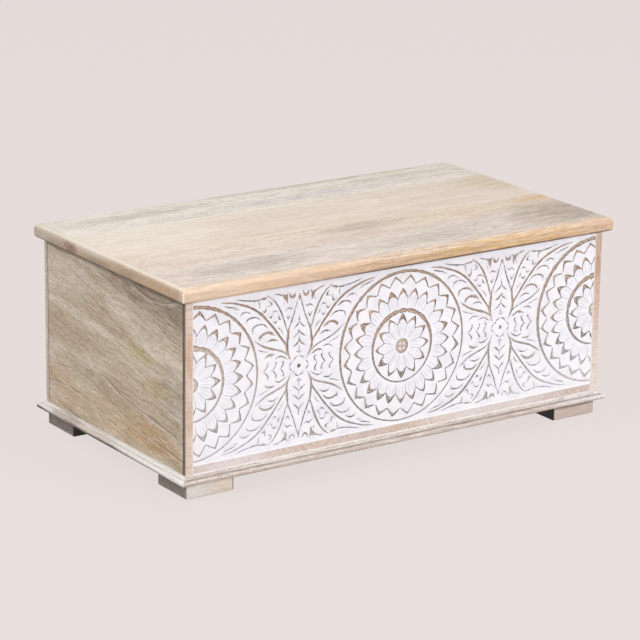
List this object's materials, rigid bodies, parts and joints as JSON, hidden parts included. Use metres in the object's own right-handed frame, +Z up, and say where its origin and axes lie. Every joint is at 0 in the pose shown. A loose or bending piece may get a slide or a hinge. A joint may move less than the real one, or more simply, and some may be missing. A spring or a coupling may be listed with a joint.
{
  "type": "storage trunk",
  "caption": "Low rectangular storage trunk with a carved front panel, a hinged plank lid on slotted stays, a moulded base and block feet.",
  "frame": {"origin": "on the floor under the middle of the trunk", "axes": "+X along the trunk to the right as seen from the front, +Y to the back, +Z up"},
  "size_m": [0.9, 0.5, 0.369],
  "materials": {
    "whitewashed_wood": "whitewashed",
    "carved_wood": "whitewashed, carved",
    "moulding_wood": "whitewashed",
    "inner_wood": "plain planed",
    "lid_wood": "whitewashed, waxed",
    "brass": "aged",
    "steel": "zinc plated"
  },
  "bodies": {
    "chest": {"front_stile_left": "whitewashed_wood", "front_stile_right": "whitewashed_wood", "front_bottom_rail": "whitewashed_wood", "side_panel_left": "whitewashed_wood", "side_panel_right": "whitewashed_wood", "back_panel": "whitewashed_wood", "carved_panel": "carved_wood", "base_moulding_front": "moulding_wood", "base_moulding_back": "moulding_wood", "base_moulding_left": "moulding_wood", "base_moulding_right": "moulding_wood", "foot_front_left": "moulding_wood", "foot_front_right": "moulding_wood", "foot_back_left": "moulding_wood", "foot_back_right": "moulding_wood", "floor_panel": "inner_wood", "floor_cleat_front": "inner_wood", "floor_cleat_back": "inner_wood", "floor_cleat_left": "inner_wood", "floor_cleat_right": "inner_wood", "corner_post_front_left": "inner_wood", "corner_post_front_right": "inner_wood", "corner_post_back_left": "inner_wood", "corner_post_back_right": "inner_wood", "hinge_body_leaf_left": "brass", "hinge_body_leaf_right": "brass", "hinge_pin_left": "brass", "hinge_pin_right": "brass", "hinge_body_screws": "brass", "stay_stud_left": "brass", "stay_stud_right": "brass", "back_panel_screws": "steel", "foot_screws": "steel"},
    "lid": {"lid_board_1": "lid_wood", "lid_board_2": "lid_wood", "lid_board_3": "lid_wood", "lid_board_4": "lid_wood", "lid_batten_left": "inner_wood", "lid_batten_right": "inner_wood", "hinge_lid_leaf_left": "brass", "hinge_lid_leaf_right": "brass", "hinge_lid_screws": "brass", "stay_bracket_left": "brass", "stay_bracket_right": "brass", "stay_pivot_left": "brass", "stay_pivot_right": "brass", "stay_bracket_screws": "brass", "lid_batten_screws": "steel"},
    "stay_left": {"stay_arm_left": "brass"},
    "stay_right": {"stay_arm_right": "brass"}
  },
  "joints": [
    {"name": "lid_hinge", "type": "hinge", "parent": "chest", "child": "lid", "pos_m": [0, 0.241, 0.339], "axis": [-1, 0, 0], "range_deg": [0, 95]},
    {"name": "stay_left_pivot", "type": "hinge", "parent": "lid", "child": "stay_left", "pos_m": [-0.4182, 0.1313, 0.33094], "axis": [-1, 0, 0], "range_deg": [-47.5, 0]},
    {"name": "stay_right_pivot", "type": "hinge", "parent": "lid", "child": "stay_right", "pos_m": [0.4182, 0.1313, 0.33094], "axis": [-1, 0, 0], "range_deg": [-47.5, 0]}
  ],
  "couplings": [
    {"joint": "stay_left_pivot", "follows": "lid_hinge", "ratio": -0.5},
    {"joint": "stay_right_pivot", "follows": "lid_hinge", "ratio": -0.5}
  ]
}
